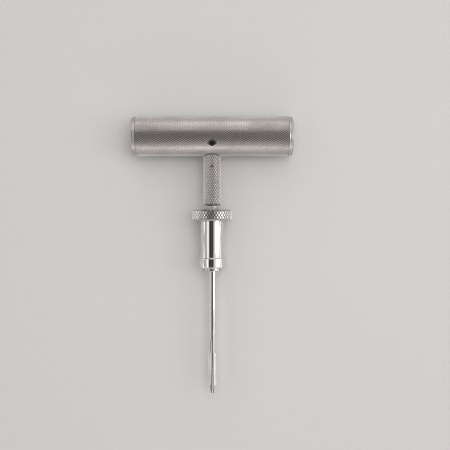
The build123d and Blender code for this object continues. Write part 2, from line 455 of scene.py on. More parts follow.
class Effects:
    """The surface effects that several finishes share, each a node group built once."""

    LINE_DRIFT = 60.0
    CLOUD_BAND = (0.38, 0.66)
    SCRATCH_TILT = 0.3
    SCRATCH_TURNS = (0.5, 2.2)
    SCRATCH_STRETCH = (40.0, 1.0, 1.0)
    SCRATCH_FINENESS = 1.4
    SCRATCH_BAND = (0.66, 0.7)

    def __init__(self) -> None:
        """Build every group."""
        across = {"Across A": 0.0, "Across B": 0.0}
        self.worn_edges = group(
            "worn_edges", {"Width": 0.3 * MM, "Strength": 6.0}, ["Mask"], self._worn_edges
        )
        self.knurl_relief = group(
            "knurl_relief", {**across, "Groove Radius": 0.0, "Tip Radius": 1.0}, ["Height"],
            self._knurl_relief,
        )
        self.turning_lines = group(
            "turning_lines", {**across, "Along": 0.0, "Pitch": 0.05 * MM}, ["Lines"],
            self._turning_lines,
        )
        self.handling = group(
            "handling", {"Vector": "vector", "Size": 12 * MM}, ["Smudges", "Scratches"],
            self._handling,
        )
        self.grain = group("grain", {"Vector": "vector", "Size": 0.12 * MM}, ["Grain"], self._grain)

    def _worn_edges(self, tree: Tree, fed: Sockets) -> Sockets:
        """Bright along edges, where the rounded normal leaves the true one."""
        rounded = node(tree, "Bevel", {"Radius": fed["Width"]}, samples=4).outputs[0]
        true = node(tree, "NewGeometry", {}).outputs["Normal"]
        facing = node(tree, "VectorMath", {0: rounded, 1: true}, operation="DOT_PRODUCT")
        away = maths(tree, "SUBTRACT", 1.0, facing.outputs["Value"])
        strong = maths(tree, "MULTIPLY", away, fed["Strength"])
        return {"Mask": node(tree, "Clamp", {0: strong}).outputs[0]}

    def _radius(self, tree: Tree, fed: Sockets) -> Socket:
        """The distance from a spindle, from the two coordinates across it."""
        squares = [maths(tree, "MULTIPLY", fed[key], fed[key]) for key in ("Across A", "Across B")]
        return maths(tree, "SQRT", maths(tree, "ADD", *squares))

    def _knurl_relief(self, tree: Tree, fed: Sockets) -> Sockets:
        """0 at the bottom of a knurl's grooves and 1 on its diamonds."""
        radius = self._radius(tree, fed)
        return {"Height": remap(tree, radius, fed["Groove Radius"], fed["Tip Radius"])}

    def _turning_lines(self, tree: Tree, fed: Sockets) -> Sockets:
        """Fine rings left by a cutting tool, on a turned piece's sides and on its end faces."""
        places = (self._radius(tree, fed), fed["Along"])
        lines = [maths(tree, "DIVIDE", place, fed["Pitch"]) for place in places]
        drift = maths(tree, "MULTIPLY", fed["Across A"], self.LINE_DRIFT)
        vector = node(tree, "CombineXYZ", dict(enumerate((*lines, drift)))).outputs[0]
        return {"Lines": noise(tree, vector, 1.0, 3.0)}

    def _handling(self, tree: Tree, fed: Sockets) -> Sockets:
        """Cloudy finger marks, and thin scratches in two directions."""
        scale = maths(tree, "DIVIDE", 1.0, fed["Size"])
        cloud = noise(tree, fed["Vector"], scale, 5.0)
        marks = []
        for turn in self.SCRATCH_TURNS:
            spun = node(tree, "Mapping", {
                "Vector": fed["Vector"], "Rotation": (self.SCRATCH_TILT, turn, turn),
                "Scale": self.SCRATCH_STRETCH,
            })
            fine = maths(tree, "MULTIPLY", scale, self.SCRATCH_FINENESS)
            marks.append(remap(tree, noise(tree, spun.outputs[0], fine, 2.0), *self.SCRATCH_BAND))
        return {
            "Smudges": remap(tree, cloud, *self.CLOUD_BAND),
            "Scratches": maths(tree, "MAXIMUM", *marks),
        }

    def _grain(self, tree: Tree, fed: Sockets) -> Sockets:
        """Fine even grain, as on a plated or blasted surface."""
        return {"Grain": noise(tree, fed["Vector"], maths(tree, "DIVIDE", 1.0, fed["Size"]), 3.0)}


EFFECTS = Effects()


class Spindle(Enum):
    """The frame axis that a piece is turned about, as the numbers of (across, across, along)."""

    X = (1, 2, 0)
    Y = (0, 2, 1)
    Z = (0, 1, 2)


@dataclass(frozen=True)
class Finish:
    """What every finish has: a name, colours in linear light and a range of roughness.

    Finger marks of about mark_size darken it by up to stain, and bump is the height of its relief.
    """

    name: str
    colour: Colour
    dark: Colour
    rough_low: float
    rough_high: float
    spindle: Spindle = Spindle.Y
    metal: float = 1.0
    mark_size: float = 9 * MM
    stain: float = 0.2
    bump: float = 0.004 * MM

    def make(self) -> Material:
        """Build the material."""
        material = bpy.data.materials.new(self.name)
        material.use_nodes = True
        tree = material.node_tree
        tree.nodes.clear()
        shader = node(tree, "BsdfPrincipled", {"Metallic": self.metal})
        output = tree.nodes.new("ShaderNodeOutputMaterial")
        tree.links.new(shader.outputs[0], output.inputs[0])
        vector = node(tree, "TexCoord", {}).outputs["Object"]
        split = node(tree, "SeparateXYZ", {0: vector}).outputs
        marks = use(tree, EFFECTS.handling, Vector=vector, Size=self.mark_size)
        places = [split[i] for i in self.spindle.value]
        colour, rough, height = self.surface(tree, vector, places, marks)
        relief = {"Height": height, "Distance": self.bump, "Strength": 1.0}
        normal = node(tree, "Bump", relief).outputs[0]
        for key, socket in (("Base Color", colour), ("Roughness", rough), ("Normal", normal)):
            tree.links.new(socket, shader.inputs[key])
        return material

    def surface(self, tree: Tree, vector: Socket, places: list[Socket], marks: Sockets) -> Surface:
        """Make what changes over the surface.

        Args:
            tree: The material's tree.
            vector: The object's own coordinates.
            places: The two of them across its spindle, and the one along it.
            marks: The handling effect's outputs.

        Returns:
            Colour, roughness and height.
        """
        raise NotImplementedError(self.name)

    def stained(self, tree: Tree, marks: Sockets, clean: Setting) -> Socket:
        """Darken a colour where there are finger marks."""
        return blend(tree, spread(tree, marks["Smudges"], 0.0, self.stain), clean, self.dark)


def rings(tree: Tree, places: list[Socket], pitch: float) -> Socket:
    """The turning lines of a piece, from its coordinates across and along its spindle."""
    fed = dict(zip(("Across_A", "Across_B", "Along"), places))
    return use(tree, EFFECTS.turning_lines, **fed, Pitch=pitch)["Lines"]


@dataclass(frozen=True)
class KnurledSteel(Finish):
    """Satin plated steel with a knurl: grooves dark with grime and painted shade, walls, and
    diamonds brightened by wear and a painted highlight.
    """

    mark_size: float = 14 * MM
    stain: float = 0.16
    bump: float = 0.006 * MM
    groove_radius: float = 0.0
    tip_radius: float = 1.0
    # The diamonds' bright colour: wear and a painted highlight.
    wear_and_highlight: Colour = (0.72, 0.7, 0.68, 1.0)
    wall_band: Band = (0.1, 0.75)
    top_band: Band = (0.8, 1.0)
    top_share: float = 0.75
    grain_size: float = 0.16 * MM
    grain_band: Band = (0.35, 0.7)
    grain_share: float = 0.22
    mark_rough: Band = (-0.03, 0.05)

    def surface(self, tree: Tree, vector: Socket, places: list[Socket], marks: Sockets) -> Surface:
        """Dark in the grooves from grime and painted shade, bright on the diamonds from wear and a
        painted highlight, and stained and speckled all over.
        """
        relief = use(
            tree, EFFECTS.knurl_relief, Across_A=places[0], Across_B=places[1],
            Groove_Radius=self.groove_radius, Tip_Radius=self.tip_radius,
        )["Height"]
        grain = use(tree, EFFECTS.grain, Vector=vector, Size=self.grain_size)["Grain"]
        # The grooves blend towards the dark colour: grime and painted shade.
        walls = blend(tree, remap(tree, relief, *self.wall_band), self.dark, self.colour)
        # The diamond tops blend towards the bright colour: wear and a painted highlight.
        top = remap(tree, relief, *self.top_band, 0.0, self.top_share)
        stained = self.stained(tree, marks, blend(tree, top, walls, self.wear_and_highlight))
        speckle = remap(tree, grain, *self.grain_band, 0.0, self.grain_share)
        rough = maths(
            tree, "ADD", spread(tree, relief, self.rough_high, self.rough_low),
            spread(tree, marks["Smudges"], *self.mark_rough),
        )
        return blend(tree, speckle, stained, self.wear_and_highlight), rough, grain


@dataclass(frozen=True)
class TurnedSteel(Finish):
    """Bare turned steel: tool rings, brighter worn edges, light staining between them."""

    edge: Colour = (0.85, 0.84, 0.82, 1.0)
    edge_width: float = 0.22 * MM
    pitch: float = 0.09 * MM
    line_band: Band = (0.3, 0.7)
    line_share: float = 0.45
    mark_rough: float = 0.06
    scratch_depth: float = 0.8

    def surface(self, tree: Tree, vector: Socket, places: list[Socket], marks: Sockets) -> Surface:
        """Ringed and stained, with worn edges and scratches."""
        lines = rings(tree, places, self.pitch)
        worn = use(tree, EFFECTS.worn_edges, Width=self.edge_width, Strength=5.0)["Mask"]
        ring = remap(tree, lines, *self.line_band, 0.0, self.line_share)
        stained = self.stained(tree, marks, blend(tree, ring, self.colour, self.dark))
        rough = maths(
            tree, "ADD", remap(tree, lines, *self.line_band, self.rough_low, self.rough_high),
            spread(tree, marks["Smudges"], 0.0, self.mark_rough),
        )
        cut = maths(tree, "MULTIPLY", marks["Scratches"], -self.scratch_depth)
        return blend(tree, worn, stained, self.edge), rough, maths(tree, "ADD", lines, cut)


@dataclass(frozen=True)
class MirrorChrome(Finish):
    """Bright chrome plate over turned steel, with faint polishing rings and finger marks."""

    mark_size: float = 7 * MM
    stain: float = 0.3
    bump: float = 0.0006 * MM
    pitch: float = 0.16 * MM
    scuff: float = 0.25
    scratch_rough: float = 0.08
    scratch_depth: float = 0.5

    def surface(self, tree: Tree, vector: Socket, places: list[Socket], marks: Sockets) -> Surface:
        """Plain plate, duller under finger marks and scratches."""
        scratches = marks["Scratches"]
        scuffed = blend(
            tree, maths(tree, "MULTIPLY", scratches, self.scuff),
            self.stained(tree, marks, self.colour), self.dark,
        )
        rough = maths(
            tree, "ADD", spread(tree, marks["Smudges"], self.rough_low, self.rough_high),
            maths(tree, "MULTIPLY", scratches, self.scratch_rough),
        )
        cut = maths(tree, "MULTIPLY", scratches, -self.scratch_depth)
        return scuffed, rough, maths(tree, "ADD", rings(tree, places, self.pitch), cut)


@dataclass(frozen=True)
class GroundSteel(Finish):
    """Polished needle steel, with draw marks along its length and bright edges."""

    mark_size: float = 5 * MM
    stain: float = 0.25
    bump: float = 0.0006 * MM
    edge: Colour = (0.9, 0.89, 0.87, 1.0)
    edge_width: float = 0.12 * MM
    streak_scale: tuple[float, float, float] = (9000.0, 90.0, 9000.0)
    streak_band: Band = (0.35, 0.7)
    streak_share: float = 0.3
    mark_rough: float = 0.05
    scratch_depth: float = 0.6

    def surface(self, tree: Tree, vector: Socket, places: list[Socket], marks: Sockets) -> Surface:
        """Streaked along the needle and stained, with worn edges and scratches."""
        drawn = node(tree, "Mapping", {"Vector": vector, "Scale": self.streak_scale}).outputs[0]
        streaks = noise(tree, drawn, 1.0, 3.0)
        worn = use(tree, EFFECTS.worn_edges, Width=self.edge_width, Strength=5.0)["Mask"]
        streak = remap(tree, streaks, *self.streak_band, 0.0, self.streak_share)
        stained = self.stained(tree, marks, blend(tree, streak, self.colour, self.dark))
        rough = maths(
            tree, "ADD", remap(tree, streaks, *self.streak_band, self.rough_low, self.rough_high),
            spread(tree, marks["Smudges"], 0.0, self.mark_rough),
        )
        cut = maths(tree, "MULTIPLY", marks["Scratches"], self.scratch_depth)
        return blend(tree, worn, stained, self.edge), rough, maths(tree, "SUBTRACT", streaks, cut)


@dataclass(frozen=True)
class BlackRubber(Finish):
    """Matt moulded rubber with a dusty bloom."""

    mark_size: float = 3 * MM
    stain: float = 0.5
    bump: float = 0.01 * MM
    grain_size: float = 0.2 * MM
    grain_band: Band = (0.3, 0.7)

    def surface(self, tree: Tree, vector: Socket, places: list[Socket], marks: Sockets) -> Surface:
        """Grained, with a bloom where it was handled."""
        grain = use(tree, EFFECTS.grain, Vector=vector, Size=self.grain_size)["Grain"]
        rough = remap(tree, grain, *self.grain_band, self.rough_low, self.rough_high)
        return self.stained(tree, marks, self.colour), rough, grain


# ---------------------------------------------------------------- sub-assemblies


@dataclass(frozen=True)
class UprightPin:
    """A pin that stands upright through the tool, from its packed box."""

    low: Vector
    high: Vector

    @property
    def radius(self) -> float:
        """The pin's radius."""
        return (self.high.x - self.low.x) / 2

    @property
    def centre(self) -> Band:
        """The middle of the pin, across the tool and along it."""
        return (self.low.x + self.high.x) / 2, (self.low.y + self.high.y) / 2

    def turn(self, outline: Outline, steps: int) -> Mesh:
        """Turn an outline about the pin's axis."""
        bm = UPRIGHT.turn(outline, steps)
        bmesh.ops.translate(bm, verts=bm.verts, vec=(*self.centre, 0))
        return bm

    def rod(self, dimple: float, steps: int) -> Mesh:
        """Turn the pin itself, with a shallow cone in each end.

        Args:
            dimple: The cone's size, as a share of the pin's radius.
            steps: Facets round the pin.

        Returns:
            A closed mesh.
        """
        radius, start, end = self.radius, self.low.z, self.high.z
        cone, depth = radius * dimple * 1.6, radius * dimple / 2
        return self.turn([
            (0, start + depth), (cone, start), (radius, start),
            (radius, end), (cone, end), (0, end - depth),
        ], steps)


@dataclass
class GripBar:
    """The knurled cross bar, its two end caps and the pin that holds the stem in it."""

    tube: Span = field(default_factory=lambda: Span.on_grip("grip_tube"))
    knurl: Knurl = Knurl(teeth=64, rows=92, depth=0.24 * MM, groove=0.23 * MM)
    wall: float = 3.0 * MM
    rim_band: float = 0.35 * MM
    rim_chamfer: float = 0.6 * MM
    rim_drop: float = 0.06 * MM
    rim_start: float = 0.1 * MM
    rim_rounding: tuple[Band, ...] = ((0.42, 0.2), (0.75, 0.0))
    cap_edge: float = 1.25 * MM
    spigot_chamfer: float = 0.8 * MM
    sink_radius: float = 2.6 * MM
    tenon_radius: float = 4.0 * MM
    pin_clearance: float = 0.03 * MM

    def build(self) -> None:
        """Make and dress every piece of the bar."""
        # Its dark colour is also the grooves' grime and painted shade, and its bright one the tops'
        # wear and painted highlight.
        satin = KnurledSteel(
            "satin_knurled_grip", (0.57, 0.54, 0.528, 1), (0.035, 0.031, 0.03, 1), 0.3, 0.44,
            Spindle.X, groove_radius=self.tube.radius - self.knurl.depth,
            tip_radius=self.tube.radius, wear_and_highlight=(0.84, 0.805, 0.79, 1.0),
        ).make()
        rim = TurnedSteel(
            "bright_grip_rim", (0.7, 0.69, 0.68, 1), (0.48, 0.47, 0.46, 1), 0.16, 0.26, Spindle.X
        ).make()
        # A dark finish that paints the shade in the countersinks and the bore.
        sink = TurnedSteel(
            "painted_shade_countersink", (0.19, 0.18, 0.175, 1), (0.1, 0.095, 0.092, 1), 0.42, 0.58,
            Spindle.Z, edge=(0.26, 0.248, 0.242, 1),
        ).make()
        capped = TurnedSteel(
            "satin_turned_cap", (0.54, 0.525, 0.515, 1), (0.34, 0.33, 0.32, 1), 0.26, 0.4, Spindle.X
        ).make()
        # A near-black finish that paints the shade on the cross pin's recessed ends.
        pinned = TurnedSteel(
            "painted_shade_pin", (0.05, 0.047, 0.045, 1), (0.02, 0.019, 0.018, 1), 0.38, 0.55, Spindle.Z,
            edge=(0.14, 0.133, 0.13, 1),
        ).make()
        barrel = self.barrel()
        piece("knurled_grip", barrel, "tool", "grip_tube", [satin, rim, sink])
        for side in ("left", "right"):
            cap = f"grip_end_cap_{side}"
            piece(f"turned_cap_{side}", self.cap(cap), "tool", cap, [capped])
        piece("grip_pin", self.pin(), "tool", "grip_cross_pin", [pinned])

    def barrel(self) -> Mesh:
        """The knurled tube, with smooth rims and its pin holes countersunk."""
        radius, chamfer = self.tube.radius, self.rim_chamfer
        margin, land = self.rim_band + chamfer, radius - self.rim_drop
        bm = GRIP.knurl(self.knurl, self.tube.start + margin, self.tube.end - margin, radius)
        bores = []
        for rim, end, inward in zip(GRIP.rims(bm, 0.0), (self.tube.start, self.tube.end), (1, -1)):
            bores += GRIP.draw_rim(bm, rim, [
                (land, end + inward * (margin - self.rim_start)), (land, end + inward * chamfer),
                *((land - drop * chamfer, end + inward * back * chamfer)
                  for drop, back in self.rim_rounding),
                (radius - self.wall, end),
            ])
        bmesh.ops.bridge_loops(bm, edges=bores)
        tidy(bm)
        bm = carve(bm, [self.hole_cutter(), self.tenon_cutter()])

        def finish(face: Face) -> int:
            """0 on the knurl, 1 on the rims, 2 in the countersinks and the bore, whose dark finish
            is painted shade.
            """
            centre = face.calc_center_median()
            if abs(centre.x) > self.tube.end - margin:
                return 1
            return 2 if GRIP.radius(centre) < radius - self.knurl.depth - NEAR_SURFACE else 0

        return number_faces(bm, finish)

    def hole_cutter(self) -> Mesh:
        """The cross pin's hole, wider where each end is countersunk."""
        pin = UprightPin(*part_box("grip_cross_pin"))
        narrow, wide = pin.radius + self.pin_clearance, self.sink_radius
        mouth = math.sqrt(self.tube.radius**2 - pin.centre[1] ** 2)
        neck = mouth - (wide - narrow)
        beyond = self.tube.radius + CUT_BEYOND
        return pin.turn([
            (0, -beyond), (wide, -beyond), (wide, -mouth), (narrow, -neck),
            (narrow, neck), (wide, mouth), (wide, beyond), (0, beyond),
        ], 48)

    def tenon_cutter(self) -> Mesh:
        """The hole in the tube's near wall that the stem's tenon goes through."""
        radius, reach = self.tenon_radius + self.pin_clearance, self.tube.radius + CUT_BEYOND
        return TOOL.rod(radius, 0, reach, 64)

    def cap(self, cap_node: str) -> Mesh:
        """A smooth flange with a rounded edge, on a spigot pressed in the tube."""
        span = Span.on_grip(cap_node)
        if span.end > self.tube.end:
            inner, seat, face, outward = span.start, self.tube.end, span.end, 1
        else:
            inner, seat, face, outward = span.end, self.tube.start, span.start, -1
        bore = self.tube.radius - self.wall
        bm = GRIP.turn([
            (0, inner), (bore - self.spigot_chamfer, inner),
            (bore, inner + outward * self.spigot_chamfer), (bore, seat), (span.radius, seat),
            (span.radius, face), (0, face),
        ])

        def on_face(edge: Edge) -> bool:
            """Whether an edge lies round the cap's outer face."""
            return all(abs(GRIP.place(vert.co) - face) < NEAR_PLANE for vert in edge.verts)

        soften(bm, self.cap_edge, 6, on_face)
        return soften(bm, 0.12 * MM, 2)

    def pin(self) -> Mesh:
        """The cross pin, with a rounded edge and a shallow dimple in each end."""
        return soften(UprightPin(*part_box("grip_cross_pin")).rod(0.25, 40), 0.15 * MM, 3)


@dataclass
class Stem:
    """The knurled stem with its tenon, the pin that locks the needle, and the nose ferrule."""

    span: Span = field(default_factory=lambda: Span.on_tool("stem"))
    ferrule: Span = field(default_factory=lambda: Span.on_tool("nose_ferrule"))
    grip_radius: float = 12.0 * MM
    knurl: Knurl = Knurl(teeth=24, rows=30, depth=0.38 * MM, groove=0.32 * MM)
    hidden: float = 3.0 * MM
    seat_radius: float = 11.8 * MM
    relief_radius: float = 12.45 * MM
    relief_neck: float = 4.7 * MM
    tenon_radius: float = 4.0 * MM
    tenon_root: float = 0.5 * MM
    end_land: float = 0.12 * MM
    end_chamfer: float = 0.2 * MM
    socket_radius: float = 3.1 * MM
    socket_depth: float = 2.5 * MM
    lock_clearance: float = 0.05 * MM
    shank_radius: float = 2.1 * MM
    groove: float = 0.4 * MM
    nose_wall: float = 0.7 * MM

    def build(self) -> None:
        """Make and dress every piece of the stem."""
        # Its dark colour is also the grooves' grime and painted shade, and its bright one the tops'
        # wear and painted highlight.
        satin = KnurledSteel(
            "satin_knurled_stem", (0.95, 0.925, 0.91, 1), (0.04, 0.037, 0.036, 1), 0.48, 0.6,
            groove_radius=self.span.radius - self.knurl.depth, tip_radius=self.span.radius,
            wear_and_highlight=(0.95, 0.935, 0.925, 1.0),
        ).make()
        turned = TurnedSteel(
            "bright_turned_ferrule", (0.82, 0.81, 0.8, 1), (0.62, 0.61, 0.6, 1), 0.42, 0.55
        ).make()
        # A dark finish that paints the shade in the joint's relief, on the stem's end and in the
        # ferrule's groove.
        shadowed = TurnedSteel(
            "painted_shade_joint", (0.05, 0.047, 0.045, 1), (0.02, 0.019, 0.018, 1), 0.5, 0.65,
            edge=(0.08, 0.076, 0.074, 1),
        ).make()
        pinned = TurnedSteel(
            "dull_lock_pin", (0.3, 0.29, 0.28, 1), (0.16, 0.155, 0.15, 1), 0.34, 0.5, Spindle.Z
        ).make()
        for name, bm, stands_for, finishes, slot in (
            ("knurled_stem", self.barrel(), "stem", [satin, turned, shadowed], "knurled_steel"),
            ("turned_ferrule", self.cone(), "nose_ferrule", [turned, shadowed], "cap_steel"),
            ("flush_lock_pin", self.pin(), "needle_lock_pin", [pinned], "pin_steel"),
        ):
            piece(name, bm, "tool", stands_for, finishes)

    def barrel(self) -> Mesh:
        """The knurled barrel, coped to the grip, with its tenon and the ferrule's socket."""
        start, end = self.grip_radius - self.hidden, self.span.end
        margin = self.end_land + self.end_chamfer
        land = self.span.radius - self.knurl.depth / 2
        bm = TOOL.knurl(self.knurl, start, end - margin, self.span.radius)
        near, far = TOOL.rims(bm, (start + end) / 2)
        far = TOOL.draw_rim(bm, far, [
            (land, end - margin), (land, end - self.end_chamfer), (land - self.end_chamfer, end),
            (self.socket_radius, end), (self.socket_radius, end - self.socket_depth),
        ])
        bmesh.ops.edgeloop_fill(bm, edges=near)
        bmesh.ops.edgeloop_fill(bm, edges=far)
        tidy(bm)
        saddle = self.saddle(self.seat_radius)
        bm = carve(bm, [self.joint_relief(), saddle, self.lock_hole()])
        root = self.grip_radius + self.tenon_root
        tenon = TOOL.rod(self.tenon_radius, self.span.start, root, 64)
        bm = carve(bm, [soften(tenon, 0.2 * MM)], "UNION")

        def finish(face: Face) -> int:
            """0 on the knurl, 1 on the tenon and in the holes, 2 in the relief and on the end,
            whose dark finish is painted shade.
            """
            centre = face.calc_center_median()
            radius = TOOL.radius(centre)
            near_grip = GRIP.radius(centre) < self.relief_radius + NEAR_SURFACE
            in_relief = near_grip and radius > self.tenon_radius + 0.3 * MM
            if in_relief or TOOL.place(centre) > end - NEAR_PLANE:
                return 2
            return int(radius < land - self.knurl.depth)

        return number_faces(bm, finish)

    def saddle(self, radius: float) -> Mesh:
        """A round across the stem, as wide as it is, that lies along the grip's axis."""
        seat = self.span.radius + CUT_BEYOND
        return GRIP.rod(radius, -seat, seat, 128)

    def joint_relief(self) -> Mesh:
        """The narrow groove that is left round the stem where it meets the grip."""
        reach = self.relief_radius + 2 * MM
        neck = TOOL.rod(self.relief_neck, -reach, reach, 64)
        return carve(self.saddle(self.relief_radius), [neck])

    def lock_hole(self) -> Mesh:
        """The lock pin's hole, a hair wider than the pin."""
        pin = UprightPin(*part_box("needle_lock_pin"))
        radius, reach = pin.radius + self.lock_clearance, self.span.radius + CUT_BEYOND
        return pin.turn([(0, -reach), (radius, -reach), (radius, reach), (0, reach)], 40)

    def pin(self) -> Mesh:
        """The flush lock pin."""
        return soften(UprightPin(*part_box("needle_lock_pin")).rod(0.2, 32), 0.12 * MM, 2)

    def cone(self) -> Mesh:
        """The ferrule: a spigot in the stem, an open groove, and a cone down to its nose."""
        bore, start, end = self.shank_radius + 0.01 * MM, self.ferrule.start, self.ferrule.end
        shoulder, spigot = self.span.end + self.groove, self.socket_radius
        bm = TOOL.turn([
            (bore, start), (spigot, start), (spigot, shoulder), (self.ferrule.radius, shoulder),
            (self.shank_radius + self.nose_wall, end), (bore, end),
        ], 72)
        soften(bm, 0.14 * MM, 3)
        # The spigot, its shoulder and the open groove take the dark finish, which is painted shade.
        seam = shoulder + NEAR_SURFACE
        return number_faces(bm, lambda face: int(TOOL.place(face.calc_center_median()) < seam))


@dataclass(frozen=True)
class Section:
    """The needle's cross-section at one place: an oval, cut straight at its two sides.

    The slot's middle and half width also say where the oval is split, above the slot's root.
    """

    place: float
    left: float
    right: float
    oval: tuple[float, float]
    slot: float
    slot_half: float


@dataclass
class Needle:
    """The split-eye needle: a round shank, a relief on one side, the eye's head and the tip."""

    low: Vector = field(default_factory=lambda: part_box("needle")[0])
    high: Vector = field(default_factory=lambda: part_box("needle")[1])
    relief_length: float = 14.8 * MM
    relief_ramp: float = 4.2 * MM
    relief_reach: float = 1.1 * MM
    head_length: float = 19.5 * MM
    head_straight: float = 7.6 * MM
    head_half_thickness: float = 2.05 * MM
    barb_half_thickness: float = 1.6 * MM
    swell: float = 0.9 * MM
    tip_length: float = 5.0 * MM
    tip_reach: float = 1.15 * MM
    tip_taper: float = 2.6 * MM
    tip_point: float = 0.6 * MM
    tip_oval: tuple[float, float] = (1.5 * MM, 0.8 * MM)
    tip_corner: float = 0.4 * MM
    slot_half_width: float = 0.375 * MM
    slot_above_head: float = 8.2 * MM
    slot_root_shift: float = -0.6 * MM
    slot_tip_shift: float = 0.1 * MM
    slot_chamfer: float = 0.28 * MM
    flat_depth: float = 0.065 * MM
    curve_points: int = 17
    side_points: int = 5
    side_angle: float = math.radians(12)
    widest_cosine: float = 0.99
    wall_share: float = 0.9
    bar_slot: float = 0.02 * MM
    slot_root_share: float = 0.003
    slot_stops: tuple[float, ...] = (0.06, 0.2, 0.45, 0.75, 1.0)
    # Millimetres below the shoulder, and how much of its +X reach the head has there.
    shoulder_corner: tuple[Band, ...] = ((0.0, 0.88), (0.05, 0.96), (0.13, 1.0))
    # Millimetres below the step, and how many it is drawn in there.
    step_corner: tuple[Band, ...] = ((-0.15, 0.0), (-0.05, 0.04), (0.0, 0.14))
    step_gap: float = 0.01 * MM
    swell_stops: tuple[float, ...] = (0.4, 0.75, 1.0)
    taper_stops: tuple[float, ...] = (0.0, 0.25, 0.5, 0.75)
    tip_stops: tuple[float, ...] = (1.0, 0.6, 0.3, 0.1, 0.0)
    tip_thinning: float = 0.6
    shank: float = field(init=False)
    head_left: float = field(init=False)
    head_right: float = field(init=False)
    tip: float = field(init=False)
    step: float = field(init=False)
    shoulder: float = field(init=False)
    relief: float = field(init=False)
    root: float = field(init=False)
    straight_end: float = field(init=False)
    taper_end: float = field(init=False)

    def __post_init__(self) -> None:
        """Work out the places along the needle."""
        self.shank = self.high.z
        self.head_left, self.head_right = -self.low.x, self.high.x
        self.tip = -self.low.y
        self.step = self.tip - self.tip_length
        self.shoulder = self.step - self.head_length
        self.relief = self.shoulder - self.relief_length
        self.root = self.shoulder - self.slot_above_head
        self.straight_end = self.shoulder + self.head_straight
        self.taper_end = self.step + self.tip_taper

    def build(self) -> None:
        """Make and dress the needle."""
        bright = GroundSteel(
            "polished_needle", (0.76, 0.745, 0.735, 1), (0.55, 0.54, 0.53, 1), 0.03, 0.06
        ).make()
        # A near-black finish that paints the shade on the slot's walls and chamfers.
        shaded = GroundSteel(
            "painted_shade_slot_walls", (0.035, 0.033, 0.032, 1), (0.015, 0.014, 0.014, 1), 0.35, 0.5,
            edge=(0.06, 0.057, 0.055, 1),
        ).make()
        bm = number_faces(self.blade(), self.is_slot_wall)
        piece("split_eye_needle", bm, "tool", "needle", [bright, shaded])

    def is_slot_wall(self, face: Face) -> int:
        """1 on the slot's walls and most of their chamfers, which take painted shade, 0 elsewhere.
        """
        centre = face.calc_center_median()
        place = TOOL.place(centre)
        off = centre.x - self.slot_at(place)
        faces_slot = face.normal.x * off < 0 and abs(face.normal.x) > 0.5
        edge = self.slot_half_width + self.wall_share * self.slot_chamfer
        return int(place > self.root and faces_slot and abs(off) < edge)

    def slot_at(self, place: float) -> float:
        """Where the middle of the slanted slot is at a place; above its root it stays the same."""
        share = max(place - self.root, 0.0) / (self.tip - self.root)
        return self.slot_root_shift + (self.slot_tip_shift - self.slot_root_shift) * share

    def bar(self, place: float, left: float, right: float) -> Section:
        """A section of the bar above the slot's root."""
        round_bar = (self.shank, self.shank)
        return Section(place, left, right, round_bar, self.slot_root_shift, self.bar_slot)

    def prong(self, place: float, left: float, right: float, oval: tuple[float, float]) -> Section:
        """A section below the slot's root, whose slot opens with a round end."""
        into = min((place - self.root) / self.slot_half_width, 1.0)
        half = self.slot_half_width * math.sqrt(max(1 - (1 - into) ** 2, self.slot_root_share))
        return Section(place, left, right, oval, self.slot_at(place), half)

    def cut_oval(self, place: float, left: float, right: float) -> Section:
        """A prong's section in the head or the tip."""
        return self.prong(place, left, right, self.oval_at(place))

    def oval_at(self, place: float) -> Band:
        """The half width and half thickness of the oval that the head and the tip are cut from."""
        if place <= self.straight_end:
            return self.head_left, self.head_half_thickness
        if place <= self.step:
            share = (place - self.straight_end) / (self.step - self.straight_end)
            return self.head_left, mixed(self.head_half_thickness, self.barb_half_thickness, share)
        share = (place - self.step) / self.tip_length
        return (
            mixed(self.head_left, self.tip_oval[0], share),
            mixed(self.barb_half_thickness, self.tip_oval[1], share),
        )

    def left_at(self, place: float) -> float:
        """How far the head reaches on its -X side, which tapers to the tip."""
        if place <= self.taper_end:
            share = max(place - self.straight_end, 0.0) / (self.taper_end - self.straight_end)
            return mixed(self.head_left, self.tip_reach, share)
        share = (place - self.taper_end) / (self.tip - self.taper_end)
        return mixed(self.tip_reach, self.tip_point, share)

    def sections(self) -> tuple[list[Section], list[Section]]:
        """The cross-sections above the slot's root, and those below it down to the tip."""
        shank, reach, round_bar = self.shank, self.relief_reach, (self.shank, self.shank)
        ramp_end = self.relief + self.relief_ramp
        above = [
            self.bar(-self.high.y, shank, shank),
            self.bar(self.relief, shank, shank),
            self.bar(self.relief + 0.5 * self.relief_ramp, shank, (shank + reach) / 2),
            self.bar(ramp_end, shank, reach),
            self.bar(self.root, shank, reach),
        ]
        below = [
            self.prong(self.root + share * self.slot_half_width, shank, reach, round_bar)
            for share in self.slot_stops
        ]
        below.append(self.prong(self.shoulder - 0.02 * MM, shank, reach, round_bar))
        for down, grown in self.shoulder_corner:
            left = mixed(shank, self.head_left, down * MM / self.swell)
            below.append(self.cut_oval(self.shoulder + down * MM, left, self.head_right * grown))
        for share in self.swell_stops:
            left = mixed(shank, self.head_left, share)
            below.append(self.cut_oval(self.shoulder + share * self.swell, left, self.head_right))
        taper = self.step - self.straight_end
        stops = [(self.straight_end + share * taper, self.head_right) for share in self.taper_stops]
        stops += [(self.step + down * MM, self.head_right - drawn_in * MM)
                  for down, drawn_in in self.step_corner]
        stops.append((self.step + self.step_gap, self.tip_reach))
        below += [self.cut_oval(place, self.left_at(place), right) for place, right in stops]
        below.append(self.cut_oval(self.taper_end, self.tip_reach, self.tip_reach))
        for share in self.tip_stops:
            place = self.tip - share * self.tip_corner
            corner = self.tip_corner * (1 - math.sqrt(max(1 - (1 - share) ** 2, 0.0)))
            wide, thick = self.oval_at(place)
            oval = (wide, thick - corner * self.tip_thinning)
            below.append(self.prong(place, self.left_at(place), self.tip_reach - corner, oval))
        return above, below

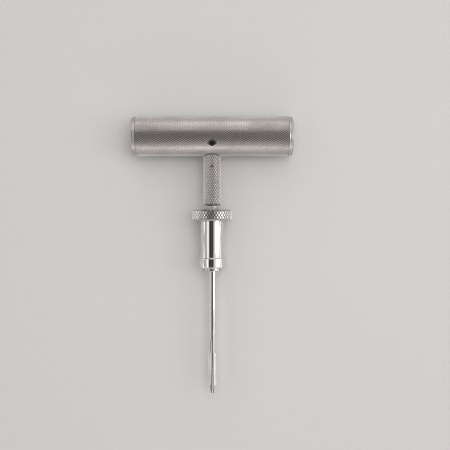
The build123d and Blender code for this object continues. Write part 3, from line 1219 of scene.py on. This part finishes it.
    def half(self, section: Section, side: int) -> list[Vector]:
        """One side's line round a section, from the slot's edge below to its edge above.

        Args:
            section: The section.
            side: 1 for the +X side, -1 for the -X side.

        Returns:
            The line's points.
        """
        wide, thick = section.oval
        reach = section.right if side > 0 else section.left
        inner = side * section.slot + section.slot_half
        chamfer = min(self.slot_chamfer, section.slot_half * 0.5)
        cosine = (inner + chamfer) / wide
        first = math.acos(min(max(cosine, -self.widest_cosine), self.widest_cosine))
        corner = max(math.acos(min(reach / wide, 1.0)), self.side_angle)
        last = self.curve_points - 1
        curve = [mixed(first, corner, i / last) for i in range(self.curve_points)]
        spaces = self.side_points + 1
        side_line = [corner * (1 - 2 * i / spaces) for i in range(1, spaces)]
        rise = thick * math.sin(first)
        line = [(inner, chamfer - rise)]
        line += [(wide * math.cos(a), -thick * math.sin(a)) for a in curve + side_line]
        line += [(wide * math.cos(a), thick * math.sin(a)) for a in reversed(curve)]
        line += [(inner, rise - chamfer)]
        flat = thick - self.flat_depth
        return [
            Vector((side * min(across, reach), -section.place, min(max(up, -flat), flat)))
            for across, up in line
        ]

    def blade(self) -> Mesh:
        """Draw the needle out section by section, as one bar and then as two prongs."""
        above, below = self.sections()
        start = self.half(above[0], 1) + self.half(above[0], -1)[::-1]
        bm = bmesh.new()
        ring = bmesh.ops.create_circle(bm, cap_ends=True, segments=len(start), radius=1.0)["verts"]
        for vert, point in zip(ring, start):
            vert.co = point
        for section in above[1:]:
            ring = draw_loop(bm, ring, self.half(section, 1) + self.half(section, -1)[::-1])
        right, left = ring[: len(ring) // 2], ring[len(ring) // 2 :]
        bm.faces.new([right[0], right[-1], left[0], left[-1]])
        for side, prong in ((1, right), (-1, left)):
            for section in below:
                points = self.half(section, side)
                prong = draw_loop(bm, prong, points if side > 0 else points[::-1])
            bm.faces.new(prong)
        tidy(bm)
        return bm


def mixed(first: float, last: float, share: float) -> float:
    """The value a share of the way from the first to the last."""
    return first + (last - first) * share


def draw_loop(bm: Mesh, ring: list[Vert], points: list[Vector]) -> list[Vert]:
    """Extrude a closed loop and move the copy to new points.

    Args:
        bm: The mesh that holds the loop.
        ring: The loop's vertices in order.
        points: Where the copy's vertices go, in the same order.

    Returns:
        The copy's vertices in order.
    """
    edges = [bm.edges.get(pair) for pair in zip(ring, ring[1:] + ring[:1])]
    drawn = bmesh.ops.extrude_edge_only(bm, edges=edges)["geom"]
    made = {v for v in drawn if isinstance(v, Vert)}
    copy = [next(e.other_vert(v) for e in v.link_edges if e.other_vert(v) in made) for v in ring]
    for vert, point in zip(copy, points):
        vert.co = point
    return copy


@dataclass
class Collar:
    """The collar that slides and turns on the shank: thumb ring, sleeve, foot ring and bushes."""

    thumb: Span = field(default_factory=lambda: Span.on_tool("collar_thumb_ring"))
    sleeve: Span = field(default_factory=lambda: Span.on_tool("collar_sleeve"))
    foot: Span = field(default_factory=lambda: Span.on_tool("collar_foot_ring"))
    upper: Span = field(default_factory=lambda: Span.on_tool("collar_upper_bush"))
    lower: Span = field(default_factory=lambda: Span.on_tool("collar_lower_bush"))
    knurl: Knurl = Knurl(teeth=42, rows=4, depth=0.5 * MM, groove=0.34 * MM)
    thumb_margin: float = 0.42 * MM
    thumb_chamfer: float = 0.5 * MM
    sleeve_wall: float = 2.0 * MM
    foot_chamfer: float = 0.5 * MM
    bush_bore: float = 2.15 * MM
    flange_length: float = 1.2 * MM
    lip_chamfer: float = 0.3 * MM
    corner_rise: float = 0.3
    corner_back: float = 0.12 * MM
    corner_drop: float = 0.1 * MM
    ring_room: float = 0.1 * MM

    def build(self) -> None:
        """Make and dress every piece of the collar."""
        # Its dark colour is also the grooves' grime and painted shade, and its bright one the tops'
        # wear and painted highlight.
        knurled = KnurledSteel(
            "chromed_knurl", (0.86, 0.84, 0.83, 1), (0.01, 0.009, 0.009, 1), 0.26, 0.4,
            groove_radius=self.thumb.radius - self.knurl.depth, tip_radius=self.thumb.radius,
            wear_and_highlight=(0.97, 0.96, 0.95, 1.0),
        ).make()
        faced = TurnedSteel(
            "bright_ring_face", (0.68, 0.67, 0.66, 1), (0.46, 0.45, 0.44, 1), 0.14, 0.26
        ).make()
        chrome = MirrorChrome(
            "mirror_chrome", (0.78, 0.765, 0.76, 1), (0.66, 0.64, 0.635, 1), 0.03, 0.07
        ).make()
        bushing = TurnedSteel(
            "turned_bush", (0.58, 0.57, 0.55, 1), (0.36, 0.35, 0.34, 1), 0.18, 0.32
        ).make()
        rubber = BlackRubber(
            "friction_rubber", (0.02, 0.02, 0.02, 1), (0.05, 0.048, 0.045, 1), 0.6, 0.8, metal=0.0
        ).make()
        for name, bm, part, finishes, slot in (
            (
                "knurled_thumb_ring", self.thumb_ring(), "thumb_ring", [knurled, faced],
                "collar_chrome",
            ),
            ("chromed_sleeve", self.tube(), "sleeve", [chrome], "collar_chrome"),
            ("chromed_foot_ring", self.foot_ring(), "foot_ring", [chrome], "collar_chrome"),
            ("turned_upper_bush", self.upper_bush(), "upper_bush", [bushing], "bush_steel"),
            ("turned_lower_bush", self.lower_bush(), "lower_bush", [bushing], "bush_steel"),
        ):
            piece(name, bm, "collar", f"collar_{part}", finishes)
        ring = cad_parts["collar_friction_ring"]
        ring.data.materials.clear()
        ring.data.materials.append(rubber)

    def thumb_ring(self) -> Mesh:
        """The knurled ring, with rounded corners and a plain bore."""
        start, end, bore = self.thumb.start, self.thumb.end, self.sleeve.radius
        margin, groove_radius = self.thumb_margin, self.thumb.radius - self.knurl.depth
        bm = TOOL.knurl(self.knurl, start + margin, end - margin, self.thumb.radius)
        shoulder = groove_radius - self.thumb_chamfer
        bores = []
        for rim, face, inward in zip(TOOL.rims(bm, (start + end) / 2), (start, end), (1, -1)):
            corner = shoulder + self.corner_rise * self.thumb_chamfer
            bores += TOOL.draw_rim(bm, rim, [
                (corner, face + inward * self.corner_back),
                (shoulder - self.corner_drop, face), (bore, face),
            ])
        bmesh.ops.bridge_loops(bm, edges=bores)
        tidy(bm)
        inside = groove_radius - 0.05 * MM
        return number_faces(bm, lambda face: int(TOOL.radius(face.calc_center_median()) < inside))

    def tube(self) -> Mesh:
        """The plain sleeve."""
        start, end, radius = self.sleeve.start, self.sleeve.end, self.sleeve.radius
        bore = radius - self.sleeve_wall
        bm = TOOL.turn([(bore, start), (radius, start), (radius, end), (bore, end)], 128)
        return soften(bm, 0.15 * MM, 3)

    def foot_ring(self) -> Mesh:
        """The foot ring, chamfered at both ends."""
        start, end, radius = self.foot.start, self.foot.end, self.foot.radius
        bore, bevel = self.sleeve.radius, self.foot_chamfer
        bm = TOOL.turn(
            [(bore, start), (radius - bevel, start), (radius, start + bevel), (radius, end - bevel),
             (radius - bevel, end), (bore, end)], 128,
        )
        return soften(bm, 0.1 * MM, 3)

    def upper_bush(self) -> Mesh:
        """The upper bush: a flange in the thumb ring, and a body grooved for the friction ring."""
        ring = Span.on_tool("collar_friction_ring")
        clear, bore = self.ring_room, self.bush_bore
        start, end, flange = self.upper.start, self.upper.end, self.upper.radius
        body, deep = self.sleeve.radius - self.sleeve_wall, ring.radius + clear
        bm = TOOL.turn(
            [(bore, start), (flange, start), (flange, start + self.flange_length),
             (body, start + self.flange_length), (body, end), (bore, end), (bore, ring.end + clear),
             (deep, ring.end + clear), (deep, ring.start - clear), (bore, ring.start - clear)], 96,
        )
        return soften(bm, 0.12 * MM, 2)

    def lower_bush(self) -> Mesh:
        """The lower bush, whose end stands out below the foot ring as a lip."""
        start, end, lip, bore = self.lower.start, self.lower.end, self.lower.radius, self.bush_bore
        body, seat = self.sleeve.radius - self.sleeve_wall, self.foot.end
        bm = TOOL.turn(
            [(bore, start), (body, start), (body, seat), (lip, seat), (lip, end - self.lip_chamfer),
             (lip - self.lip_chamfer, end), (bore, end)], 96,
        )
        return soften(bm, 0.1 * MM, 2)


# ---------------------------------------------------------------- studio


@dataclass(frozen=True)
class SoftBox:
    """A soft lamp aimed at the tool: where it stands, its size and its power."""

    name: str
    place: Vector
    size: tuple[float, float]
    watts: float
    colour: tuple[float, float, float] = (1.0, 0.99, 0.97)
    in_gloss: bool = True

    def light(self, target: Vector) -> None:
        """Put the lamp in the scene, aimed at a point and unseen by the camera."""
        lamp = bpy.data.lights.new(self.name, "AREA")
        lamp.shape, lamp.energy, lamp.color = "RECTANGLE", self.watts, self.colour
        lamp.size, lamp.size_y = self.size
        obj = bpy.data.objects.new(self.name, lamp)
        obj.location = self.place
        obj.rotation_euler = (target - self.place).to_track_quat("-Z", "Y").to_euler()
        obj.visible_camera = False
        obj.visible_glossy = self.in_gloss
        bpy.context.scene.collection.objects.link(obj)


@dataclass(frozen=True)
class Panel:
    """A part of the light tent: two angles from overhead, in degrees, and its brightness."""

    start: float
    end: float
    level: float


@dataclass
class Studio:
    """The pale floor, the light tent and its two lamps, and the camera above the tool."""

    floor_height: float = field(default_factory=lambda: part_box("grip_tube")[0].z)
    floor_size: float = 6.0
    aim: Vector = field(default_factory=lambda: Vector((7.7 * MM, -53.7 * MM, 0)))
    distance: float = 0.43
    width_seen: float = 0.2722
    sensor: float = 36.0
    clip: Band = (0.01, 20.0)
    lit_point: Vector = field(default_factory=lambda: Vector((0, -0.07, 0)))
    floor_tones: Band = (0.47, 0.5)
    floor_fibre: float = 900.0
    floor_rough: float = 0.9
    backdrop: float = 0.7
    tint: tuple[float, float, float] = (1.0, 0.975, 0.965)
    side_panels: tuple[Panel, ...] = (
        Panel(-100, -72, 0.5), Panel(-64, -52, 0.55), Panel(-47, -39, 1.4), Panel(-27, -18, 0.01),
        Panel(-14, -1, 0.08), Panel(5, 9, 0.03), Panel(19, 23, 0.8), Panel(26, 34, 0.95),
        Panel(42, 76, 1.3), Panel(84, 100, 0.9),
    )
    end_panels: tuple[Panel, ...] = (
        Panel(-100, -92, 0.25), Panel(-86, -72, 2.6), Panel(-60, -46, 0.7), Panel(-34, 20, 0.3),
        Panel(32, 56, 1.5), Panel(66, 82, 1.85), Panel(90, 100, 0.3),
    )
    corner_panels: tuple[Panel, ...] = (
        Panel(-100, -86, 1.3), Panel(-78, -66, 0.25), Panel(-56, -46, 0.95), Panel(-38, -28, 0.3),
        Panel(-18, 18, 1.0), Panel(28, 38, 0.35), Panel(48, 58, 1.0), Panel(66, 78, 0.25),
        Panel(86, 100, 1.3),
    )
    opening: tuple[float, float] = (-32.0, 20.0)
    opening_edge: float = 8.0

    def build(self) -> None:
        """Set up floor, light and camera."""
        self.floor()
        self.tent()
        for lamp in (
            SoftBox("overhead_fill", Vector((0.12, 0.05, 0.9)), (0.7, 0.7), 5.2, in_gloss=False),
            SoftBox("right_box", Vector((0.8, -0.05, 0.6)), (0.35, 0.6), 1.2),
        ):
            lamp.light(self.lit_point)
        self.camera()

    def floor(self) -> None:
        """A plain pale floor under the tool."""
        bm = bmesh.new()
        bmesh.ops.create_grid(bm, x_segments=2, y_segments=2, size=self.floor_size)
        bmesh.ops.translate(bm, verts=bm.verts, vec=(0, 0, self.floor_height))
        obj = loose_object("studio_floor", bm)
        material = bpy.data.materials.new("pale_paper")
        material.use_nodes = True
        tree = material.node_tree
        shader = tree.nodes["Principled BSDF"]
        vector = node(tree, "TexCoord", {}).outputs["Object"]
        paper = [(tone, tone, tone, 1) for tone in self.floor_tones]
        colour = blend(tree, noise(tree, vector, self.floor_fibre), *paper)
        tree.links.new(colour, shader.inputs["Base Color"])
        shader.inputs["Roughness"].default_value = self.floor_rough
        obj.data.materials.append(material)

    def tent(self) -> None:
        """Light from all round by its direction, behind a plain backdrop for the camera.

        Between the opening's edges, overhead, the side panels light the tool. Beyond them the end
        panels do, dimmed from side to side by the corner panels.
        """
        world = bpy.data.worlds.new("light_tent")
        world.use_nodes = True
        bpy.context.scene.world = world
        tree = world.node_tree
        tree.nodes.clear()
        direction = node(tree, "TexCoord", {}).outputs["Generated"]
        split = node(tree, "SeparateXYZ", {0: direction}).outputs
        sideways = maths(tree, "ARCTAN2", split["X"], split["Z"])
        lengthways = maths(tree, "ARCTAN2", split["Y"], split["Z"])
        across = self.panels(tree, sideways, self.side_panels)
        along = self.panels(tree, lengthways, self.end_panels)
        low, high = (math.radians(angle) for angle in self.opening)
        soft = math.radians(self.opening_edge)
        edges = ((high, high + soft), (low, low - soft))
        beyond = maths(tree, "MAXIMUM", *(remap(tree, lengthways, *edge) for edge in edges))
        corners = {0: 1.0, 6: along, 7: self.panels(tree, sideways, self.corner_panels)}
        ends = node(tree, "Mix", corners, data_type="RGBA", blend_type="MULTIPLY").outputs[2]
        light = blend(tree, beyond, across, ends)
        seen = node(tree, "LightPath", {}).outputs["Is Camera Ray"]
        plain = (self.backdrop,) * 3 + (1.0,)
        sky = node(tree, "Background", {"Color": blend(tree, seen, light, plain)})
        output = tree.nodes.new("ShaderNodeOutputWorld")
        tree.links.new(sky.outputs[0], output.inputs[0])

    def panels(self, tree: Tree, angle: Socket, panels: Sequence[Panel]) -> Socket:
        """A colour by angle from overhead, from one panel to the next.

        Args:
            tree: The world's tree.
            angle: The angle in radians, negative on one side.
            panels: The panels in order, from the lowest angle up.

        Returns:
            The colour.
        """
        ramp = node(tree, "ValToRGB", {0: remap(tree, angle, -math.pi, math.pi)})
        stops = ramp.color_ramp.elements
        while len(stops) > 1:
            stops.remove(stops[0])
        stops[0].position = 0.0
        stops[0].color = (*(panels[0].level * tint for tint in self.tint), 1)
        for panel in panels:
            for degrees in (panel.start, panel.end):
                stop = stops.new((degrees + 180) / 360)
                stop.color = (*(panel.level * tint for tint in self.tint), 1)
        return ramp.outputs[0]

    def camera(self) -> None:
        """A camera straight above the tool, with the grip at the top of the picture."""
        data = bpy.data.cameras.new("overhead")
        data.sensor_width = self.sensor
        data.lens = self.sensor * self.distance / self.width_seen
        data.clip_start, data.clip_end = self.clip
        obj = bpy.data.objects.new("overhead", data)
        obj.location = self.aim + Vector((0, 0, self.distance))
        bpy.context.scene.collection.objects.link(obj)
        bpy.context.scene.camera = obj


def main() -> None:
    """Build the tool's sub-assemblies and the studio."""
    logging.basicConfig(level=logging.INFO, format="%(name)s: %(message)s")
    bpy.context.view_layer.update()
    Studio().build()
    for assembly in (GripBar(), Stem(), Needle(), Collar()):
        assembly.build()
    bpy.context.scene.view_settings.view_transform = "Standard"


if __name__ == "__main__":
    main()
